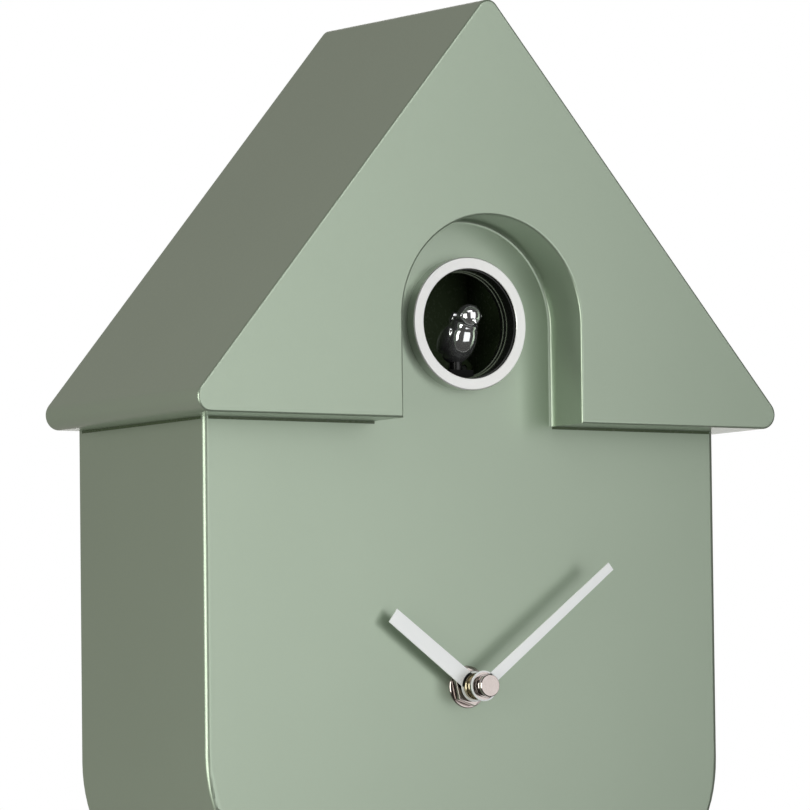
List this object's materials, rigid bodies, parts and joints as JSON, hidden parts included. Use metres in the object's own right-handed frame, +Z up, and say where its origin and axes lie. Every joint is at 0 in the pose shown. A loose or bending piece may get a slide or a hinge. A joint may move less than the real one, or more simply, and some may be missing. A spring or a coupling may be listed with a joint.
{
  "type": "cuckoo clock",
  "caption": "House-shaped wall cuckoo clock with a gabled roof, an arched niche, a round window with a bird, two hands and a quartz movement behind its face.",
  "frame": {"origin": "middle of the case's footprint, at the height of its flat base", "axes": "+Z up, +Y towards the wall behind the clock, +X to the right seen from the front"},
  "size_m": [0.22, 0.096, 0.2924],
  "materials": {
    "case_plastic": "satin metallic lacquer, fine grain",
    "back_plastic": "matt",
    "bezel_plastic": "satin",
    "dark_plastic": "gloss",
    "black_plastic": "matt",
    "white_plastic": "natural",
    "bird_chrome": "mirror",
    "steel": "bright zinc",
    "brass": "turned",
    "nickel": "nickel plated",
    "hand_paint": "silver-white stoved enamel",
    "rubber": "matt",
    "coil_copper": "enamelled wire",
    "board": "solder mask",
    "cell_jacket": "printed jacket",
    "magnet": "ferrite",
    "cone_paper": "paper"
  },
  "bodies": {
    "case": {"body_shell": "case_plastic", "roof_shell": "case_plastic", "back_cover": "back_plastic", "window_bezel": "bezel_plastic", "nest_box": "dark_plastic", "drive_bracket": "white_plastic", "gear_axle": "steel", "drive_motor": "steel", "nest_screws": "steel", "bracket_screws": "steel", "roof_screws": "steel", "cover_screws": "steel", "board_screws": "steel", "movement_case": "black_plastic", "movement_cover": "black_plastic", "train_plate": "black_plastic", "threaded_bush": "brass", "bush_gasket": "rubber", "bush_washer": "brass", "bush_nut": "brass", "stator": "steel", "stepper_coil": "coil_copper", "quartz_board": "board", "clock_cell": "cell_jacket", "clock_contacts": "steel", "speaker_basket": "steel", "speaker_magnet": "magnet", "speaker_cone": "cone_paper", "speaker_clamps": "steel", "main_board": "board", "control_bases": "black_plastic", "sound_cells": "cell_jacket", "sound_contacts": "steel"},
    "bird_slide": {"bird_carriage": "black_plastic", "bird": "bird_chrome"},
    "bird_gear": {"bird_gear": "white_plastic"},
    "motor_rotor": {"motor_shaft": "steel", "motor_pinion": "brass"},
    "minute_work": {"minute_arbor": "brass", "centre_wheel": "white_plastic", "minute_hand": "hand_paint", "minute_collet": "hand_paint", "hand_cap": "nickel"},
    "motion_work": {"motion_wheel": "white_plastic", "setting_knob": "black_plastic"},
    "hour_work": {"hour_wheel": "white_plastic", "hour_hand": "hand_paint", "hour_collet": "brass"},
    "third_wheel": {"third_wheel": "white_plastic"},
    "stepper_rotor": {"stepper_rotor": "white_plastic"},
    "volume_dial": {"volume_dial": "black_plastic"},
    "sound_switch": {"sound_switch": "black_plastic"},
    "test_button": {"test_button": "black_plastic"},
    "battery_door": {"battery_door": "back_plastic"}
  },
  "joints": [
    {"name": "bird_out", "type": "slide", "parent": "case", "child": "bird_slide", "axis": [0, -1, 0], "range_m": [0, 0.018]},
    {"name": "bird_gear_turn", "type": "hinge", "parent": "case", "child": "bird_gear", "pos_m": [0, 0.01444, 0.16611], "axis": [1, 0, 0], "range_deg": [0, 215.9]},
    {"name": "motor_turn", "type": "hinge", "parent": "case", "child": "motor_rotor", "pos_m": [-0.011, 0.02525, 0.16218], "axis": [1, 0, 0], "range_deg": [-775.5, 0]},
    {"name": "minute_turn", "type": "hinge", "parent": "case", "child": "minute_work", "pos_m": [0, 0, 0.0724], "axis": [0, 1, 0], "continuous": true},
    {"name": "motion_turn", "type": "hinge", "parent": "case", "child": "motion_work", "pos_m": [0.006, 0, 0.08279], "axis": [0, 1, 0], "continuous": true},
    {"name": "hour_turn", "type": "hinge", "parent": "case", "child": "hour_work", "pos_m": [0, 0, 0.0724], "axis": [0, 1, 0], "continuous": true},
    {"name": "third_turn", "type": "hinge", "parent": "case", "child": "third_wheel", "pos_m": [-0.00935, 0, 0.0778], "axis": [0, 1, 0], "continuous": true},
    {"name": "rotor_turn", "type": "hinge", "parent": "case", "child": "stepper_rotor", "pos_m": [-0.01199, 0, 0.08765], "axis": [0, 1, 0], "continuous": true},
    {"name": "volume_turn", "type": "hinge", "parent": "case", "child": "volume_dial", "pos_m": [0.0533, 0, 0.041], "axis": [0, 1, 0], "range_deg": [0, 270]},
    {"name": "switch_slide", "type": "slide", "parent": "case", "child": "sound_switch", "axis": [1, 0, 0], "range_m": [0, 0.004]},
    {"name": "button_press", "type": "slide", "parent": "case", "child": "test_button", "axis": [0, -1, 0], "range_m": [0, 0.0012], "stiffness_N_per_m": 400},
    {"name": "door_off", "type": "slide", "parent": "case", "child": "battery_door", "axis": [0, 1, 0], "range_m": [0, 0.025]}
  ],
  "couplings": [
    {"joint": "bird_gear_turn", "follows": "bird_out", "rad_per_m": 208.33},
    {"joint": "motor_turn", "follows": "bird_out", "rad_per_m": -750},
    {"joint": "motion_turn", "follows": "minute_turn", "ratio": -0.33333},
    {"joint": "hour_turn", "follows": "minute_turn", "ratio": 0.083333},
    {"joint": "third_turn", "follows": "minute_turn", "ratio": -8},
    {"joint": "rotor_turn", "follows": "minute_turn", "ratio": 60}
  ]
}
